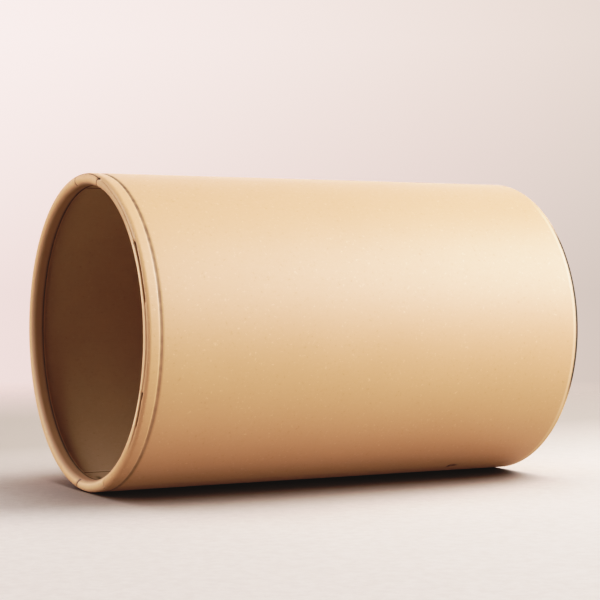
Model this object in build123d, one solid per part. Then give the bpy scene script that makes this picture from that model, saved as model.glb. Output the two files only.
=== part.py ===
# Cardboard tube: a wound board wall with a rolled rim, and a dished base clamped in its turned-in foot.
# Millimetres. The tube stands on its foot, its axis is Z, and the origin is the centre of the foot plane.
from build123d import *
import os

# The tube as a whole
outer_radius = 100.0
height = 311.0
wall = 2.4

# The rolled rim: the board goes over the top and comes down inside the mouth as a straight flank
rim_bend_radius = 1.35
rim_depth = 9.3

# The score line pressed into the outside, level with the edge of the flank
score_width = 1.2
score_depth = 0.5

# The foot: the board turns in under the wall and up inside it, with its corners pressed flat
foot_leg_height = 9.0
foot_corner = 2.0

# The base: a disc with a skirt that stands in the foot and rests on the foot's edge
base_board = 1.6
base_shoulder = 0.8
seat_clearance = 0.15
skirt_tip_gap = 0.6

# Radii and levels that follow from the sizes above
wall_inner_radius = outer_radius - wall
roll_radius = wall + rim_bend_radius
roll_centre_radius = outer_radius - roll_radius
roll_centre_z = height - roll_radius
flank_outer_radius = wall_inner_radius - 2 * rim_bend_radius
rim_edge_z = height - rim_depth
skirt_outer_radius = wall_inner_radius - seat_clearance
skirt_inner_radius = skirt_outer_radius - base_board
leg_outer_radius = skirt_inner_radius - seat_clearance
leg_inner_radius = leg_outer_radius - wall


def tube_body():
    with BuildPart() as body:
        with BuildSketch(Plane.XZ):
            # The section of the board, from the roll down its inner side to the foot and back up its outer side
            with BuildLine():
                roll = CenterArc((roll_centre_radius, roll_centre_z), roll_radius, 0, 180)
                Polyline(
                    roll @ 1,
                    (flank_outer_radius - wall, rim_edge_z),
                    (flank_outer_radius, rim_edge_z),
                    (flank_outer_radius, roll_centre_z),
                    (roll_centre_radius, height - wall),
                    (wall_inner_radius, roll_centre_z),
                    (wall_inner_radius, wall),
                    (leg_outer_radius, wall),
                    (leg_outer_radius, foot_leg_height),
                    (leg_inner_radius, foot_leg_height),
                    (leg_inner_radius, foot_corner),
                    (leg_inner_radius + foot_corner, 0),
                    (outer_radius - foot_corner, 0),
                    (outer_radius, foot_corner),
                    (outer_radius, rim_edge_z - score_width / 2),
                    (outer_radius - score_depth, rim_edge_z),
                    (outer_radius, rim_edge_z + score_width / 2),
                    roll @ 0,
                )
            make_face()
        revolve(axis=Axis.Z)
    return body.part


def base_dish():
    floor_top = foot_leg_height + base_board
    with BuildPart() as base:
        with BuildSketch(Plane.XZ):
            with BuildLine():
                Polyline(
                    (0, foot_leg_height),
                    (skirt_inner_radius, foot_leg_height),
                    (skirt_inner_radius, wall + skirt_tip_gap),
                    (skirt_outer_radius, wall + skirt_tip_gap),
                    (skirt_outer_radius, floor_top - base_shoulder),
                    (skirt_outer_radius - base_shoulder, floor_top),
                    (0, floor_top),
                    close=True,
                )
            make_face()
        revolve(axis=Axis.Z)
    return base.part


os.makedirs("parts", exist_ok=True)
for node, solid in {"tube_body": tube_body(), "base_dish": base_dish()}.items():
    export_step(solid, f"parts/{node}.step")
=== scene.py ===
import bpy
import math
import numpy as np
from mathutils import Matrix, Vector


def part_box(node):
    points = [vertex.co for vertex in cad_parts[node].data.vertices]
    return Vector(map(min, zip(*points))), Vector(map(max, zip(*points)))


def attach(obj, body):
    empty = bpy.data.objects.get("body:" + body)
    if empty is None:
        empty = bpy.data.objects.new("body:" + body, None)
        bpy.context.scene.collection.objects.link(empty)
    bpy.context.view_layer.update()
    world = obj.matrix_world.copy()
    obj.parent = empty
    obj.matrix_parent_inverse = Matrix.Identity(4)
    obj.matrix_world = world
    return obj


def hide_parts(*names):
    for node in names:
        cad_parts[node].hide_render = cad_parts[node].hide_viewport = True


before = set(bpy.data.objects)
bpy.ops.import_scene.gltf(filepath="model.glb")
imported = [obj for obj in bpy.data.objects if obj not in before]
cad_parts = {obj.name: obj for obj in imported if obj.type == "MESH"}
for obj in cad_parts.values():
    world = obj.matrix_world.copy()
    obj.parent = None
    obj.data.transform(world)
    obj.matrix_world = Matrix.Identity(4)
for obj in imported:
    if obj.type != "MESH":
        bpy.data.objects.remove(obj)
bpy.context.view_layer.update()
mm = 0.001
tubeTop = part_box("tube_body")[1]
dishLow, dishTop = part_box("base_dish")
outerRadius = tubeTop.x
tubeHeight = tubeTop.z
print("frame loaded, tube", round(outerRadius / mm), "by", round(tubeHeight / mm), "mm")


# Picture axes are right, down and away from the lens.
# The tube lies in the picture with its mouth to the left.
picture = {
    "lens": 105.77, "sensor": 36.0,  # millimetres
    "axisTurn": 28.54,       # degrees the tube's axis turns away from the picture plane, going to the foot
    "axisDrop": -0.384,      # degrees the axis drops in the picture, going to the foot
    "mouthRight": -136.5 * mm,
    "mouthDown": 20.4 * mm,
    "mouthAway": 1104.5 * mm,
    "upTurn": 45.0,          # degrees about Z of the side that is on top in the picture
}


def pictureAxes():
    turn, drop = math.radians(picture["axisTurn"]), math.radians(picture["axisDrop"])
    toFoot = Vector((math.cos(drop) * math.cos(turn), math.sin(drop), math.cos(drop) * math.sin(turn)))
    pitch = math.atan2(-toFoot.y, toFoot.z)
    up = Vector((0, -math.cos(pitch), -math.sin(pitch)))  # square to the floor that the tube lies on
    near = toFoot.cross(up)
    side = math.radians(picture["upTurn"])
    upSide = Vector((math.cos(side), math.sin(side), 0))
    nearSide = Vector((math.sin(side), -math.cos(side), 0))
    turnIn = lambda v: v.dot(up) * upSide + v.dot(near) * nearSide - v.dot(toFoot) * Vector((0, 0, 1))
    return turnIn, upSide, nearSide


inFrame, upSide, nearSide = pictureAxes()  # inFrame turns a picture direction into the tube's own frame


def makeCamera():
    data = bpy.data.cameras.new("camera")
    data.lens = picture["lens"]
    data.sensor_width = picture["sensor"]
    cam = bpy.data.objects.new("camera", data)
    bpy.context.scene.collection.objects.link(cam)
    mouth = Vector((picture["mouthRight"], picture["mouthDown"], picture["mouthAway"]))
    place = Vector((0, 0, tubeHeight)) - inFrame(mouth)
    axes = [inFrame(Vector(v)) for v in ((1, 0, 0), (0, -1, 0), (0, 0, -1))]
    cam.matrix_world = Matrix([(*[a[i] for a in axes], place[i]) for i in range(3)] + [(0, 0, 0, 1)])
    bpy.context.scene.camera = cam
    print("camera at", [round(x, 3) for x in place])


makeCamera()


# Node helpers for materials and shapes
def addNode(tree, kind, inputs=(), **settings):
    made = tree.nodes.new(kind)
    for name, value in settings.items():
        setattr(made, name, value)
    for key, value in dict(inputs).items():
        if isinstance(value, bpy.types.NodeSocket):
            tree.links.new(value, made.inputs[key])
        else:
            made.inputs[key].default_value = value
    return made


def doMath(tree, operation, first, second=0.0):
    return addNode(tree, "ShaderNodeMath", {0: first, 1: second}, operation=operation).outputs[0]


def dotWith(tree, vector, side):
    made = addNode(tree, "ShaderNodeVectorMath", {0: vector, 1: side}, operation="DOT_PRODUCT")
    return made.outputs["Value"]


def opaque(colour):
    return (*colour, 1)


def mixColour(tree, factor, first, second):
    return addNode(tree, "ShaderNodeMix", {0: factor, 6: first, 7: second}, data_type="RGBA").outputs[2]


def remap(tree, value, low, high, toLow, toHigh):
    keys = {"Value": value, "From Min": low, "From Max": high, "To Min": toLow, "To Max": toHigh}
    return addNode(tree, "ShaderNodeMapRange", keys).outputs[0]


def fadeColour(tree, value, span, first, second, most=1.0):  # from first to second over a span of the value
    return mixColour(tree, remap(tree, value, *span, 0.0, most), first, second)


def noise(tree, coords, scale, detail, rough):
    keys = {"Vector": coords, "Scale": scale, "Detail": detail, "Roughness": rough}
    return addNode(tree, "ShaderNodeTexNoise", keys).outputs["Fac"]


def attribute(tree, name):
    return addNode(tree, "ShaderNodeAttribute", attribute_name=name).outputs["Fac"]


# Finishes of the board: clouds, fibres, dark flecks and pale glints, then the marks that the mesh carries,
# among them painted shade and painted highlights
def boardMaterial(name, look):
    made = bpy.data.materials.new(name)
    made.use_nodes = True
    tree = made.node_tree
    shader = tree.nodes["Principled BSDF"]
    coords = addNode(tree, "ShaderNodeTexCoord").outputs["Object"]
    along = addNode(tree, "ShaderNodeMapping", {"Vector": coords, "Scale": look["fibreStretch"]}).outputs[0]
    cloud = noise(tree, coords, *look["cloudNoise"])
    fleck = noise(tree, coords, *look["fleckNoise"])
    fibre = noise(tree, along, *look["fibreNoise"])
    colour = fadeColour(tree, cloud, look["cloudSpan"], opaque(look["pale"]), opaque(look["deep"]))
    speckles = ((fibre, "fibre", "fibreShow"), (fleck, "fleck", "fleckShow"), (fleck, "glint", "fleckShow"))
    for value, paint, show in speckles:
        colour = fadeColour(tree, value, look[paint + "Span"], colour, opaque(look[paint]), look[show])
    for paint in ("rollShade", "bareAndHighlight", "stainAndShade"):
        colour = mixColour(tree, attribute(tree, paint), colour, opaque(look[paint]))
    tree.links.new(colour, shader.inputs["Base Color"])
    rough = remap(tree, fleck, *look["roughSpan"], *look["rough"])
    rough = doMath(tree, "MAXIMUM", rough, attribute(tree, "stainAndShade"))  # stains and painted shade are dull
    tree.links.new(rough, shader.inputs["Roughness"])
    shader.inputs["Specular IOR Level"].default_value = look["gloss"]
    fleckLift = doMath(tree, "MULTIPLY", fleck, look["fleckLift"])
    fibreLift = doMath(tree, "MULTIPLY", fibre, look["fibreLift"])
    height = doMath(tree, "ADD", fleckLift, fibreLift)
    keys = {"Strength": look["bumpStrength"], "Distance": look["bumpDepth"], "Height": height}
    tree.links.new(addNode(tree, "ShaderNodeBump", keys).outputs[0], shader.inputs["Normal"])
    return made


# A noise is scale, detail and roughness. A span is the noise's values between which a colour comes in.
kraftLook = {
    "pale": (0.67, 0.378, 0.205), "deep": (0.645, 0.36, 0.192),
    "cloudNoise": (16.0, 3.0, 0.5), "cloudSpan": (0.3, 0.7),
    "fibre": (0.60, 0.325, 0.15), "fibreStretch": (1.0, 1.0, 0.25), "fibreShow": 0.25,
    "fibreNoise": (900.0, 2.0, 0.6), "fibreSpan": (0.5, 0.8),
    "fleck": (0.54, 0.28, 0.125), "glint": (0.80, 0.50, 0.28), "fleckShow": 0.75,
    "fleckNoise": (470.0, 3.0, 0.65), "fleckSpan": (0.62, 0.74), "glintSpan": (0.38, 0.28),
    # the first of these three colours is painted shade over the roll towards the bore; the second is bare
    # paper and painted highlight; the third darkens real stains and painted shade alike
    "rollShade": (0.40, 0.24, 0.14), "bareAndHighlight": (0.86, 0.58, 0.36), "stainAndShade": (0.034, 0.022, 0.009),
    "rough": (0.51, 0.59), "roughSpan": (0.3, 0.7), "gloss": 0.6,
    "fleckLift": 0.6, "fibreLift": 0.4, "bumpStrength": 0.12, "bumpDepth": 0.08 * mm,
}
liningLook = dict(
    kraftLook, pale=(0.53, 0.365, 0.235), deep=(0.49, 0.335, 0.21), fibre=(0.41, 0.27, 0.165),
    fleck=(0.34, 0.22, 0.135), glint=(0.60, 0.43, 0.29), bareAndHighlight=(0.66, 0.48, 0.33),
    fleckShow=0.4, rough=(0.58, 0.66), gloss=0.3, bumpStrength=0.2,
)
edgeLook = dict(
    kraftLook, pale=(0.62, 0.39, 0.22), deep=(0.55, 0.33, 0.18), fibre=(0.45, 0.25, 0.125),
    fibreStretch=(0.3, 0.3, 3.0), fibreShow=0.6, rough=(0.71, 0.79), gloss=0.2, bumpStrength=0.4,
)
baseLook = dict(
    kraftLook, pale=(0.50, 0.30, 0.165), deep=(0.45, 0.26, 0.14), fibre=(0.36, 0.20, 0.105),
    fibreStretch=(0.3, 1.0, 1.0), fleck=(0.28, 0.155, 0.08), rough=(0.64, 0.72), gloss=0.3, bumpStrength=0.3,
)
kraftFacing = boardMaterial("kraftFacing", kraftLook)
tubeLining = boardMaterial("tubeLining", liningLook)
cutEdge = boardMaterial("cutEdge", edgeLook)
baseBoard = boardMaterial("baseBoard", baseLook)
print("finishes made")


# A rolled piece starts as a flat sheet:
# one column of points for each stop of the turn, one row along the section
facing, lining, edge = 0, 1, 2  # the finish of a face
mergeReach = 0.002 * mm


def straight(start, end, steps):
    return [tuple(a + (b - a) * i / steps for a, b in zip(start, end)) for i in range(steps)]


def bend(centre, radius, fromAngle, toAngle, steps):
    angles = [math.radians(fromAngle + (toAngle - fromAngle) * i / steps) for i in range(steps)]
    return [(centre[0] + radius * math.cos(a), centre[1] + radius * math.sin(a)) for a in angles]


def sectionNormals(points):
    points = np.array(points)
    along = np.roll(points, -1, 0) - np.roll(points, 1, 0)
    along /= np.maximum(np.linalg.norm(along, axis=1), 1e-9)[:, None]
    return along[:, 1], -along[:, 0]  # outwards for a section that climbs the outside


def sheetMesh(name, rows, turns, layers):
    points, finishes = [row[:2] for row in rows], [row[2] for row in rows]
    columns, height = len(turns), len(rows)
    index = np.arange(columns * height).reshape(columns, height)
    right, up = np.roll(index, -1, 0), np.roll(index, -1, 1)
    corners = np.stack([index, right, np.roll(right, -1, 1), up], -1).reshape(-1, 4)
    mesh = bpy.data.meshes.new(name)
    flat = np.zeros((columns * height, 3))
    flat[:, 0], flat[:, 1] = np.repeat(turns, height), np.tile(np.arange(height) * mm, columns)
    mesh.from_pydata(flat.tolist(), [], corners.tolist())
    outR, outZ = sectionNormals(points)
    section = {"radius": [p[0] for p in points], "lift": [p[1] for p in points], "outR": outR, "outZ": outZ}
    values = {key: np.tile(row, columns) for key, row in section.items()}
    values["turn"] = np.repeat(turns, height)
    values.update({key: grid.ravel() for key, grid in layers.items()})
    for key, value in values.items():
        mesh.attributes.new(key, "FLOAT", "POINT").data.foreach_set("value", np.array(value, np.float32))
    finish = mesh.attributes.new("finish", "INT", "FACE")
    finish.data.foreach_set("value", np.tile(np.array(finishes, np.int32), columns))
    return mesh


def rollTree():
    tree = bpy.data.node_groups.new("rollUp", "GeometryNodeTree")
    face = tree.interface
    face.new_socket("Geometry", in_out="INPUT", socket_type="NodeSocketGeometry")
    for name in ("Mark depth", "Ripple", "Ripple scale"):
        face.new_socket(name, in_out="INPUT", socket_type="NodeSocketFloat")
    for name in ("Facing", "Lining", "Edge"):
        face.new_socket(name, in_out="INPUT", socket_type="NodeSocketMaterial")
    face.new_socket("Geometry", in_out="OUTPUT", socket_type="NodeSocketGeometry")
    given = addNode(tree, "NodeGroupInput").outputs

    def read(key, kind="FLOAT"):
        return addNode(tree, "GeometryNodeInputNamedAttribute", {"Name": key}, data_type=kind).outputs[0]

    def times(first, second):
        return doMath(tree, "MULTIPLY", first, second)

    wide, high = doMath(tree, "COSINE", read("turn")), doMath(tree, "SINE", read("turn"))

    def turned(radius, lift):
        keys = {"X": times(wide, radius), "Y": times(high, radius), "Z": lift}
        return addNode(tree, "ShaderNodeCombineXYZ", keys).outputs[0]

    # marks sink the surface along its own normal, and a slow ripple sinks loose paper a little more
    keys = {"Vector": turned(read("radius"), read("lift")), "Scale": given["Ripple scale"], "Detail": 1.0}
    wave = addNode(tree, "ShaderNodeTexNoise", keys).outputs["Fac"]
    ripple = times(times(wave, read("loose")), given["Ripple"])
    sink = doMath(tree, "ADD", times(read("sink"), given["Mark depth"]), ripple)
    radius = doMath(tree, "SUBTRACT", read("radius"), times(sink, read("outR")))
    lift = doMath(tree, "SUBTRACT", read("lift"), times(sink, read("outZ")))
    keys = {"Geometry": given["Geometry"], "Position": turned(radius, lift)}
    shape = addNode(tree, "GeometryNodeSetPosition", keys).outputs[0]
    keys = {"Geometry": shape, "Distance": mergeReach}
    shape = addNode(tree, "GeometryNodeMergeByDistance", keys).outputs[0]
    shape = addNode(tree, "GeometryNodeSetShadeSmooth", {"Geometry": shape}).outputs[0]
    shape = addNode(tree, "GeometryNodeRealizeInstances", {"Geometry": shape}).outputs[0]
    for number, name in ((facing, "Facing"), (lining, "Lining"), (edge, "Edge")):
        keys = {2: read("finish", "INT"), 3: number}
        chosen = addNode(tree, "FunctionNodeCompare", keys, data_type="INT", operation="EQUAL").outputs[0]
        keys = {"Geometry": shape, "Selection": chosen, "Material": given[name]}
        shape = addNode(tree, "GeometryNodeSetMaterial", keys).outputs[0]
    tree.links.new(shape, addNode(tree, "NodeGroupOutput").inputs[0])
    return tree


def rollUp(name, sheet, inputs):
    tree = bpy.data.node_groups.get("rollUp") or rollTree()
    piece = bpy.data.objects.new(name, sheet)
    bpy.context.scene.collection.objects.link(piece)
    modifier = piece.modifiers.new("rollUp", "NODES")
    modifier.node_group = tree
    sockets = {s.name: s.identifier for s in tree.interface.items_tree if s.in_out == "INPUT"}
    for key, value in inputs.items():
        modifier[sockets[key]] = value
    ready = piece.evaluated_get(bpy.context.evaluated_depsgraph_get())
    mesh = bpy.data.meshes.new_from_object(ready)
    piece.modifiers.clear()
    piece.data = mesh
    bpy.data.meshes.remove(sheet)
    mesh.name = name
    for key in ("turn", "radius", "lift", "outR", "outZ", "sink", "loose", "finish"):
        mesh.attributes.remove(mesh.attributes[key])
    print(name, len(mesh.polygons), "faces")
    return piece


def ease(share):
    share = np.clip(share, 0, 1)
    return share * share * (3 - 2 * share)


def within(value, low, high, soft):  # 1 between low and high, easing to 0 over soft at each end
    return ease(np.minimum(value - low, high - value) / soft + 0.5)


def hump(distance, width):
    return np.exp(-(distance / width) ** 2)


# The tube: wall, rolled rim with its flank inside the mouth, and the foot turned in under the wall.
# Marks lie by degrees round the mouth ("at", "around"), from the top of the picture towards the near side,
# and by degrees over the roll ("over"), from the outer wall to the bore.
# A span of three is where a mark starts, where it ends and how softly. Stain, painted shade, bare paper and
# painted highlight are full at 1.
tube = {
    "wall": 2.4 * mm, "rimBend": 1.35 * mm, "rimDepth": 9.3 * mm, "cutRound": 0.25 * mm,
    "legHeight": 9.0 * mm, "legInner": 93.3 * mm, "footRound": 2.0 * mm, "footRows": 8.0 * mm,
    "rollRows": ((0, 24, 4), (24, 40, 2), (40, 80, 1), (80, 96, 2), (96, 180, 4)),  # from, to and step
    "markDepth": 1.0, "ripple": 0.1 * mm, "rippleScale": 9.0, "ragged": (0.7, 1.1), "raggedSeed": 5,
    "turnStep": 1.5,  # degrees between stops of the turn, with more stops on both sides of fine marks
    "lineSteps": (0.08, 0.16, 0.26, 0.38, 0.55), "slitSteps": (0.3, 0.6, 1.0), "patchSteps": (0.2, 0.4),
    "score": {  # the line pressed in under the rim, darkened with painted shade
        "toWall": 2.8 * mm, "toRim": 1.2 * mm, "depth": 0.35 * mm, "dipShade": 0.75,
        "line": (-1.5 * mm, 0.5 * mm, 0.75 * mm), "around": (40, 60, 120), "grooveShade": (0.8, 0.66, 0.48),
    },
    "fold": {  # where the facing meets the inner ply, with a dark line, painted shade beside it and a painted highlight on its inner side
        "around": (16, 28, 40, 54, 70, 84, 97, 112, 124, 136),
        "over": (46, 60, 59, 58, 62, 57, 55, 68, 60, 54),
        "shown": (15, 132, 8.0), "depth": 0.4 * mm, "width": 6.0, "dentWidth": 15.6, "sideShadeWidth": 26.0,
        "sideShade": 0.2, "stain": 0.45, "bareAndHighlight": 0.45, "highlightOver": (6, 90, 6.0),
        "faint": (-20, 50, 12.0), "faintFade": 0.7, "faintShade": 0.25, "faintOver": (0, 60, 24.0),
    },
    "slit": {  # the two places where the fold gapes, with painted shade in the gap and a painted highlight on the strip inside
        "spans": ((56.0, 78.0), (110.0, 123.0)), "soft": 1.6, "depth": 1.3 * mm, "width": 7.0,
        "head": (-0.7, 1.2, 0.6), "headWidth": 11.9, "bareAndHighlight": 0.55, "highlightOver": (7, 90, 4.0),
    },
    "cut": {  # the facing's cut end over the top
        "around": (-7, -2, 4, 10, 15), "over": (40, 33, 28, 37, 46), "shown": (-7, 15, 1.0),
        "depth": 0.35 * mm, "width": 6.0, "stain": 0.95,
    },
    "notch": {  # the hole at the end of that cut, darkened with painted shade, with a pale chip beside it
        "at": 14.6, "over": 47.0, "size": 1.5 * mm, "overSize": 15.0, "depth": 1.1 * mm, "stain": 1.7,
        "chipPast": 3.6 * mm, "chipOver": 56.4, "chipSize": 9.0, "chipBare": 0.9,
    },
    "lap": {  # lines across the roll: at, over from, over to, lean, stain and flare towards the bore
        "lines": (
            (352.6, 24, 150, 0.0, 1.0, 0.0), (14.2, 46, 150, -1.0, 1.0, 0.0),
            (185.8, 24, 150, -3.6, 1.0, 1.4), (158.3, 20, 120, -10.0, 0.4, 0.0),
        ),
        "depth": 0.3 * mm, "width": 0.48 * mm, "soft": 10.0, "flareOver": (95, 200, 30.0),
    },
    "patch": {"around": (160.0, 185.0, 0.5), "over": (12, 120, 10.0), "bareAndHighlight": 0.45},  # pale, between two laps
    "rollShade": {  # painted shade: degrees over the roll between which the facing darkens towards the bore
        "from": 108.0, "around": (285, 335, 350, 360), "to": (148.0, 182.0, 182.0, 148.0),
    },
    "flank": {  # painted shade as a dark line at the end of the roll inside the mouth
        "line": (-1.0 * mm, 1.7 * mm, 0.5 * mm), "around": (215, 245, 320, 350),
        "stain": (0.95, 0.78, 0.78, 0.95),
    },
    "seam": {  # the lining's seams, each with a pale edge
        "at": (199.8, 340.7), "depth": 0.3 * mm, "width": 0.42 * mm, "stain": 0.95,
        "edgePast": 0.8 * mm, "edgeWidth": 0.35 * mm, "edgeBare": 0.8,
    },
    "smudge": {"at": 194.0, "below": 21.0 * mm, "size": (2.2 * mm, 1.8 * mm), "rows": (17.0 * mm, 25.0 * mm)},
    "nick": {  # spots low on the wall: at, height, and size across and up
        "spots": ((158.9, 60.4 * mm, 3.4 * mm, 1.3 * mm), (158.3, 57.4 * mm, 1.7 * mm, 2.2 * mm)),
        "depth": 0.3 * mm, "rows": (50.4 * mm, 65.4 * mm),
    },
    "foot": {  # painted shade as a dark line at the turn of the foot, and a painted highlight as a pale strip above it
        "line": (48.0, 116.0, 16.0), "shadeUp": (-1.0 * mm, 2.6 * mm, 0.5 * mm),
        "strip": (36.0, 165.0, 16.0), "highlightUp": (2.9 * mm, 4.1 * mm, 0.6 * mm), "stripHighlight": 0.8,
    },
}


def scoreDip(away):  # steep on the rim's side, gentle on the wall's
    score = tube["score"]
    share = np.clip(np.where(away < 0, -away / score["toWall"], away / score["toRim"]), 0, 1)
    return 0.5 + 0.5 * np.cos(np.pi * share)


def tubeSection():  # rows of radius, lift, finish and degrees over the roll, which are -1 elsewhere
    wall, inner = tube["wall"], outerRadius - tube["wall"]
    roll = wall + tube["rimBend"]
    centre = (outerRadius - roll, tubeHeight - roll)
    bore, flank = outerRadius - 2 * roll, inner - 2 * tube["rimBend"]
    flankEnd, cut, foot = tubeHeight - tube["rimDepth"], tube["cutRound"], tube["footRound"]
    legIn = tube["legInner"]
    legOut, legTop = legIn + wall, tube["legHeight"]
    toWall, toRim, dip = (tube["score"][key] for key in ("toWall", "toRim", "depth"))
    rows = []

    def lay(points, finish, over=()):
        rows.extend((*point, finish, place) for point, place in zip(points, over or [-1.0] * len(points)))

    def upright(radius, lifts, steps, finish, over=()):
        for start, end, count in zip(lifts, lifts[1:], steps):
            lay(straight((radius, start), (radius, end), count), finish, over)

    lay(bend((outerRadius - foot, foot), foot, -90, 0, 8), facing)
    lifts = (foot, tube["footRows"], *tube["nick"]["rows"], flankEnd - toWall)
    upright(outerRadius, lifts, (6, 3, 15, 16), facing)
    for away in [*np.linspace(-toWall, 0, 9)[:-1], *np.linspace(0, toRim, 7)[:-1]]:
        lay([(outerRadius - dip * scoreDip(away), flankEnd + away)], facing)
    upright(outerRadius, (flankEnd + toRim, centre[1]), (4,), facing)
    over = [angle for span in tube["rollRows"] for angle in range(*span)]
    lay([bend(centre, roll, angle, angle, 1)[0] for angle in over], facing, over)
    upright(bore, (centre[1], flankEnd + tube["flank"]["line"][1], flankEnd + cut), (4, 4), facing, [180] * 4)
    lay(bend((bore + cut, flankEnd + cut), cut, 180, 270, 3), edge)
    lay(straight((bore + cut, flankEnd), (flank - cut, flankEnd), 3), edge)
    lay(bend((flank - cut, flankEnd + cut), cut, 270, 360, 3), edge)
    upright(flank, (flankEnd + cut, centre[1]), (3,), lining)
    lay(bend(centre, tube["rimBend"], 180, 0, 6), lining)
    lifts = (centre[1], *[tubeHeight - below for below in tube["smudge"]["rows"]], wall)
    upright(inner, lifts, (5, 10, 10), lining)
    lay(straight((inner, wall), (legOut, wall), 2), lining)
    upright(legOut, (wall, legTop - cut), (3,), lining)
    lay(bend((legOut - cut, legTop - cut), cut, 0, 90, 3), edge)
    lay(straight((legOut - cut, legTop), (legIn + cut, legTop), 3), edge)
    lay(bend((legIn + cut, legTop - cut), cut, 90, 180, 3), edge)
    upright(legIn, (legTop - cut, foot), (3,), facing)
    lay(bend((legIn + foot, foot), foot, 180, 270, 6), facing)
    lay(straight((legIn + foot, 0), (outerRadius - foot, 0), 2), facing)
    return rows


def tubeTurns():  # stops of the turn in degrees round the mouth, closer together beside fine marks
    lines = [mark[0] for mark in (*tube["lap"]["lines"], *tube["nick"]["spots"])]
    lines += [*tube["seam"]["at"], tube["notch"]["at"]]
    slitEnds = [end for span in tube["slit"]["spans"] for end in span]
    patchEnds = tube["patch"]["around"][:2]
    stops = {i * tube["turnStep"] for i in range(round(360 / tube["turnStep"]))}
    for places, steps in ((lines, "lineSteps"), (slitEnds, "slitSteps"), (patchEnds, "patchSteps")):
        for step in tube[steps]:
            stops.update(place + way * step for place in places for way in (-1, 0, 1))
    return np.array(sorted({round(stop % 360, 3) for stop in stops}))


def roundFrom(around, place):  # degrees from a place, the short way round
    return np.mod(around - place + 180, 360) - 180


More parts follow.
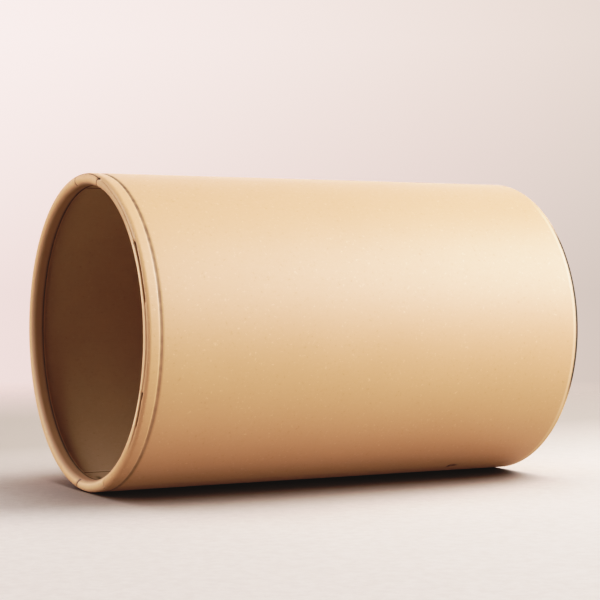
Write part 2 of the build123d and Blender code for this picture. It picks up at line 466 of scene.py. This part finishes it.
def tubeMarks(rows, around):
    radius, lift, finish, dome = (np.array(column)[None, :] for column in zip(*rows))
    around = around[:, None]
    toArc = np.radians(1.0) * radius
    onRoll, inside = dome >= 0, finish == lining
    outside = (radius > outerRadius - 2 * tube["score"]["depth"]) & (finish == facing)
    above = lift - (tubeHeight - tube["rimDepth"])  # from the level of the pressed line
    sink, stainAndShade, paleAndLit = (np.zeros((around.size, radius.size)) for _ in range(3))
    degrees = np.arange(361)
    ragged = np.random.default_rng(tube["raggedSeed"]).uniform(*tube["ragged"], degrees.size)
    ragged = np.interp(around, degrees, ragged)

    # stain darkens real stains and painted shade alike; the pale share is bare paper and painted highlight
    def mark(shape, depth=0.0, stain=0.0, bareAndHighlight=0.0):
        np.add(sink, depth * shape, out=sink)
        np.maximum(stainAndShade, stain * shape, out=stainAndShade)
        np.add(paleAndLit, bareAndHighlight * shape, out=paleAndLit)

    # the fold over the roll, faint up to the first place where it gapes: a dent and dark line, painted shade
    # beside it, and a painted highlight on its inner side
    fold, slit = tube["fold"], tube["slit"]
    past = dome - np.interp(around, fold["around"], fold["over"])
    shown = within(around, *fold["shown"]) * onRoll
    faint = shown * within(around, *fold["faint"])
    mark(shown * hump(past, np.where(past < 0, fold["dentWidth"], fold["width"])), depth=fold["depth"])
    mark(shown * hump(past, np.where(past < 0, fold["sideShadeWidth"], fold["width"])), stain=fold["sideShade"])
    mark((shown - fold["faintFade"] * faint) * ragged * hump(past, fold["width"]), stain=fold["stain"])
    mark(faint * within(past, *fold["faintOver"]), stain=fold["faintShade"])
    mark((shown - faint) * within(past, *fold["highlightOver"]), bareAndHighlight=fold["bareAndHighlight"])
    for start, end in slit["spans"]:
        gape = within(around, start, end, slit["soft"]) * onRoll
        head = within(around - start, *slit["head"]) * onRoll * hump(past, slit["headWidth"])
        # painted shade in the gap, and a painted highlight on the strip inside it
        mark(np.maximum(gape * hump(past, slit["width"]), head), depth=slit["depth"], stain=1.0)
        mark(gape * within(past, *slit["highlightOver"]), bareAndHighlight=slit["bareAndHighlight"])
    # the cut end over the top, its notch darkened with painted shade, the laps across the roll and the pale
    # patch between two of them
    cut, notch, lap, patch = (tube[key] for key in ("cut", "notch", "lap", "patch"))
    turned = roundFrom(around, 0)
    line = hump(dome - np.interp(turned, cut["around"], cut["over"]), cut["width"])
    mark(line * within(turned, *cut["shown"]) * onRoll, depth=cut["depth"], stain=cut["stain"])
    beside = (around - notch["at"]) * toArc
    hole = hump(beside, notch["size"]) * hump(dome - notch["over"], notch["overSize"])
    chip = hump(beside - notch["chipPast"], notch["size"]) * hump(dome - notch["chipOver"], notch["chipSize"])
    mark(hole * onRoll, depth=notch["depth"], stain=notch["stain"])
    mark(chip * onRoll, bareAndHighlight=notch["chipBare"])
    for place, low, high, lean, strength, flare in lap["lines"]:
        away = roundFrom(around, place + lean * (dome - 90) / 180) * toArc
        width = lap["width"] * (1 + flare * within(dome, *lap["flareOver"]))
        line = strength * hump(away, width) * within(dome, low, high, lap["soft"])
        mark(line * onRoll, depth=lap["depth"], stain=1.0)
    mark(within(around, *patch["around"]) * within(dome, *patch["over"]) * onRoll, bareAndHighlight=patch["bareAndHighlight"])
    # painted shade in the pressed line under the rim, and painted shade as a dark line at the end of the
    # flank inside the mouth
    score, flank = tube["score"], tube["flank"]
    grooveShade = np.interp(around, score["around"], score["grooveShade"]) * ragged * outside
    mark(grooveShade * scoreDip(above), stain=score["dipShade"])
    mark(grooveShade * within(above, *score["line"]), stain=1.0)
    shade = np.interp(around, flank["around"], flank["stain"])
    mark(shade * within(above, *flank["line"]) * (dome == 180), stain=1.0)
    # seams and a smudge on the lining
    seam, smudge = tube["seam"], tube["smudge"]
    for place in seam["at"]:
        away = (around - place) * toArc
        mark(hump(away, seam["width"]) * inside * (above < 0), depth=seam["depth"], stain=seam["stain"])
        mark(hump(away - seam["edgePast"], seam["edgeWidth"]) * inside, bareAndHighlight=seam["edgeBare"])
    wide, tall = smudge["size"]
    spot = hump((around - smudge["at"]) * toArc, wide) * hump(lift - tubeHeight + smudge["below"], tall)
    mark(spot * inside, stain=1.0)
    # a nick low on the wall, and at the turn of the foot a dark line of painted shade and a pale strip of
    # painted highlight
    nick, foot = tube["nick"], tube["foot"]
    for place, height, wide, tall in nick["spots"]:
        spot = hump((around - place) * toArc, wide) * hump(lift - height, tall)
        mark(spot * outside, depth=nick["depth"], stain=1.0)
    turnedFoot = (radius > outerRadius - tube["footRound"]) * (finish == facing)
    mark(within(around, *foot["line"]) * within(lift, *foot["shadeUp"]) * turnedFoot, stain=1.0)
    mark(within(around, *foot["strip"]) * within(lift, *foot["highlightUp"]) * turnedFoot, bareAndHighlight=foot["stripHighlight"])
    # painted shade: the facing darkens over the roll towards the bore
    rollShade = tube["rollShade"]
    share = (dome - rollShade["from"]) / (np.interp(around, rollShade["around"], rollShade["to"]) - rollShade["from"])
    stainAndShade, paleAndLit = stainAndShade.clip(0, 1), paleAndLit.clip(0, 1)
    rollShading = ease(share) * onRoll * (1 - paleAndLit)
    loose = (finish != edge) * np.ones_like(stainAndShade)
    return {"sink": sink, "stainAndShade": stainAndShade, "bareAndHighlight": paleAndLit, "rollShade": rollShading, "loose": loose}


def makeTube():
    rows = tubeSection()
    around = tubeTurns()
    layers = {key: grid[::-1] for key, grid in tubeMarks(rows, around).items()}
    turns = np.radians(picture["upTurn"] - around)[::-1]  # the same stops as angles about Z
    piece = rollUp("tubeBody", sheetMesh("tubeSheet", rows, turns, layers), {
        "Mark depth": tube["markDepth"], "Ripple": tube["ripple"], "Ripple scale": tube["rippleScale"],
        "Facing": kraftFacing, "Lining": tubeLining, "Edge": cutEdge,
    })
    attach(piece, "root")
    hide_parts("tube_body")
    return piece


tubeBody = makeTube()


# The base: a pressed disc whose skirt stands in the foot
dish = {
    "board": 1.6 * mm, "shoulder": 0.8 * mm, "cutRound": 0.2 * mm, "band": 9.6 * mm, "turnStep": 2.0,
    "markDepth": 1.0, "ripple": 0.0, "rippleScale": 9.0,
    "stain": 0.3, "stainIn": 1.92 * mm, "stainWidth": 1.28 * mm,  # a faint ring where the disc turns down
}


def makeDish():
    skirt, top, low = dishTop.x, dishTop.z, dishLow.z
    board, shoulder, cut = dish["board"], dish["shoulder"], dish["cutRound"]
    inner, seat, band = skirt - board, top - board, skirt - dish["band"]
    stretches = [
        (bend((skirt - cut, low + cut), cut, -90, 0, 3), edge),
        (straight((skirt, low + cut), (skirt, top - shoulder), 5), facing),
        (bend((skirt - shoulder, top - shoulder), shoulder, 0, 90, 6), facing),
        (straight((skirt - shoulder, top), (band, top), 5), lining),
        (straight((band, top), (0, top), 16), lining),
        (straight((0, top), (0, seat), 1), lining),
        (straight((0, seat), (inner, seat), 20), lining),
        (straight((inner, seat), (inner, low + cut), 4), facing),
        (bend((inner + cut, low + cut), cut, 180, 270, 3), edge),
        (straight((inner + cut, low), (skirt - cut, low), 2), edge),
    ]
    rows = [(*point, finish) for points, finish in stretches for point in points]
    turns = np.radians(np.arange(0, 360, dish["turnStep"]))
    blank = np.zeros((len(turns), len(rows)))
    radius = np.array([row[0] for row in rows])[None, :]
    stainAndShade = dish["stain"] * hump(radius - skirt + dish["stainIn"], dish["stainWidth"]) + blank
    layers = {"sink": blank, "stainAndShade": stainAndShade, "bareAndHighlight": blank, "rollShade": blank, "loose": blank}
    piece = rollUp("baseDish", sheetMesh("dishSheet", rows, turns, layers), {
        "Mark depth": dish["markDepth"], "Ripple": dish["ripple"], "Ripple scale": dish["rippleScale"],
        "Facing": baseBoard, "Lining": baseBoard, "Edge": cutEdge,
    })
    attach(piece, "root")
    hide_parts("base_dish")
    return piece


baseDish = makeDish()


# Stage: a pale floor under the lying tube, soft lights, a pale surround and the picture's tone.
# A light is its place right, up and near of the tube's middle, its size, its watts and what it lights.
stage = {
    "floor": {
        "reach": 1.3, "fadeSpan": (0.55, 1.15), "gap": 0.15 * mm, "rough": 0.7, "gloss": 0.2,
        "pale": (0.855, 0.765, 0.71), "deep": (0.78, 0.69, 0.635),
        "grainNoise": (160.0, 4.0, 0.7), "grainSpan": (0.35, 0.65),
        # painted shade on the floor behind the tube
        "back": (0.45, 0.39, 0.34), "backSpan": (0.0, -300 * mm),
        "shade": (0.085, 0.088, 0.088), "shadeReach": 0.45, "shadeRays": 8,
        "shadeSpan": (0.13, 0.56, 0.92),        # darkest, and clear at the foot's end and at the mouth's end
        "bounce": (0.395, 0.328, 0.276),        # the floor's colour as the tube sees it
        "glow": (0.04, 0.21), "glowSpan": (16 * mm, 84 * mm, 270 * mm),  # fills the shade under the tube
    },
    "lights": {
        "windowLight": ((1.33, 0.73, 0.14), 1.1, 61.0, "tube"),
        "floorLight": ((1.22, 1.08, -0.34), 1.1, 34.0, "floor"),
        "topLight": ((0.05, 1.5, -0.2), 1.4, 21.0, "floor"),
        "backLight": ((0.2, 0.4, -1.6), 1.4, 12.0, "tube"),
        "mouthLight": ((-1.65, 0.8, 0.45), 1.4, 29.5, "tube"),
    },
    "surround": {
        "skyLow": (0.39, 0.352, 0.32), "skyHigh": (0.065, 0.06, 0.056), "skySpan": (-0.1, 0.9),
        "wallLeft": (1.82, 1.31, 1.25), "wallRight": (1.05, 0.85, 0.75), "wallSpan": (-0.18, 0.18),
        "wallDim": 0.72, "dimSpan": (-0.01, 0.13),
    },
    "toneReach": 2.2,
    "tone": (
        (0, 0.004), (0.03, 0.014), (0.08, 0.056), (0.2, 0.186),
        (0.45, 0.454), (0.8, 0.676), (1.3, 0.857), (2.2, 0.96),
    ),
}


def floorMaterial(centre):
    floor = stage["floor"]
    made = bpy.data.materials.new("paleFloor")
    made.use_nodes = True
    tree = made.node_tree
    shader = tree.nodes["Principled BSDF"]
    coords = addNode(tree, "ShaderNodeTexCoord").outputs["Object"]
    across = dotWith(tree, coords, nearSide)
    grain = noise(tree, coords, *floor["grainNoise"])
    colour = fadeColour(tree, grain, floor["grainSpan"], opaque(floor["pale"]), opaque(floor["deep"]))
    # painted shade: the floor darkens towards its far side, behind the tube
    colour = fadeColour(tree, across, floor["backSpan"], colour, opaque(floor["back"]))
    # shade where the tube is close, reaching further at the mouth's end
    keys = {"Distance": floor["shadeReach"]}
    clearing = addNode(tree, "ShaderNodeAmbientOcclusion", keys, samples=floor["shadeRays"]).outputs["AO"]
    dark, atFoot, atMouth = floor["shadeSpan"]
    ahead = addNode(tree, "ShaderNodeSeparateXYZ", {0: coords}).outputs["Z"]
    full = remap(tree, ahead, 0.0, tubeHeight, atFoot, atMouth)
    colour = fadeColour(tree, clearing, (dark, full), opaque(floor["shade"]), colour)
    seen = addNode(tree, "ShaderNodeLightPath").outputs["Is Camera Ray"]
    tree.links.new(mixColour(tree, seen, opaque(floor["bounce"]), colour), shader.inputs["Base Color"])
    # the glow in that shade lights the tube and isn't seen itself
    across = doMath(tree, "ABSOLUTE", across)
    (least, most), (close, middle, far) = floor["glow"], floor["glowSpan"]
    rise, fall = remap(tree, across, close, middle, least, most), remap(tree, across, middle, far, most, 0.0)
    glow = doMath(tree, "MINIMUM", rise, fall)
    glow = doMath(tree, "MULTIPLY", glow, doMath(tree, "SUBTRACT", 1.0, seen))
    tree.links.new(glow, shader.inputs["Emission Strength"])
    shader.inputs["Emission Color"].default_value = (1.0, 1.0, 1.0, 1.0)
    shader.inputs["Roughness"].default_value = floor["rough"]
    shader.inputs["Specular IOR Level"].default_value = floor["gloss"]
    # clear from behind and towards the edges
    keys = {0: coords, 1: centre}
    away = addNode(tree, "ShaderNodeVectorMath", keys, operation="DISTANCE").outputs["Value"]
    fade = remap(tree, away, *floor["fadeSpan"], 0.0, 1.0)
    behind = addNode(tree, "ShaderNodeNewGeometry").outputs["Backfacing"]
    clear = addNode(tree, "ShaderNodeBsdfTransparent").outputs[0]
    keys = {0: doMath(tree, "MAXIMUM", fade, behind), 1: shader.outputs[0], 2: clear}
    whole = addNode(tree, "ShaderNodeMixShader", keys).outputs[0]
    tree.links.new(whole, tree.nodes["Material Output"].inputs["Surface"])
    return made


def makeFloor():
    centre = Vector((0, 0, tubeHeight / 2)) - upSide * (outerRadius + stage["floor"]["gap"])
    wide, along = nearSide * stage["floor"]["reach"], Vector((0, 0, stage["floor"]["reach"]))
    corners = [centre + wide * a + along * b for a, b in ((-1, -1), (-1, 1), (1, 1), (1, -1))]
    mesh = bpy.data.meshes.new("paleFloor")
    mesh.from_pydata(corners, [], [(0, 1, 2, 3)])
    if mesh.polygons[0].normal.dot(upSide) < 0:
        mesh.flip_normals()
    mesh.materials.append(floorMaterial(centre))
    floor = bpy.data.objects.new("paleFloor", mesh)
    bpy.context.scene.collection.objects.link(floor)
    return floor


def makeLight(name, place, size, power, pieces):
    data = bpy.data.lights.new(name, "AREA")
    data.shape = "SQUARE"
    data.size = size
    data.energy = power
    light = bpy.data.objects.new(name, data)
    light.visible_camera = False
    bpy.context.scene.collection.objects.link(light)
    right, up, near = place
    target = Vector((0, 0, tubeHeight / 2))
    light.location = target + inFrame(Vector((right, 0, -near))) + upSide * up
    light.rotation_mode = "QUATERNION"
    light.rotation_quaternion = (target - light.location).to_track_quat("-Z", "Y")
    lit = bpy.data.collections.new(name)
    for piece in pieces:
        lit.objects.link(piece)
    light.light_linking.receiver_collection = lit


def makeSurround():
    surround = stage["surround"]
    world = bpy.data.worlds.new("surround")
    bpy.context.scene.world = world
    world.use_nodes = True
    tree = world.node_tree
    shader = tree.nodes["Background"]
    looking = addNode(tree, "ShaderNodeTexCoord").outputs["Generated"]
    upward, rightward = (dotWith(tree, looking, side) for side in (upSide, inFrame(Vector((1, 0, 0)))))
    low, high, left, right = (opaque(surround[key]) for key in ("skyLow", "skyHigh", "wallLeft", "wallRight"))
    sky = fadeColour(tree, upward, surround["skySpan"], low, high)
    wall = fadeColour(tree, rightward, surround["wallSpan"], left, right)
    dim = remap(tree, upward, *surround["dimSpan"], surround["wallDim"], 1.0)
    wall = addNode(tree, "ShaderNodeVectorMath", {0: wall, "Scale": dim}, operation="SCALE").outputs[0]
    diffuse = addNode(tree, "ShaderNodeLightPath").outputs["Is Diffuse Ray"]
    tree.links.new(mixColour(tree, diffuse, wall, sky), shader.inputs["Color"])


def setTone():  # a soft shoulder for the lights and a firm toe for the darks
    settings = bpy.context.scene.view_settings
    settings.view_transform = "Standard"
    settings.use_curve_mapping = True
    curves = settings.curve_mapping
    curves.white_level = [stage["toneReach"]] * 3
    points = curves.curves[3].points  # the curve for all three colours
    for light, shown in stage["tone"][1:-1]:
        points.new(light / stage["toneReach"], shown)
    points[0].location = stage["tone"][0]
    points[len(points) - 1].location = (1, stage["tone"][-1][1])
    curves.update()


paleFloor = makeFloor()
litPieces = {"tube": (tubeBody, baseDish), "floor": (paleFloor,)}
for lightName, (place, size, power, lit) in stage["lights"].items():
    makeLight(lightName, place, size, power, litPieces[lit])
makeSurround()
setTone()
print("stage set")
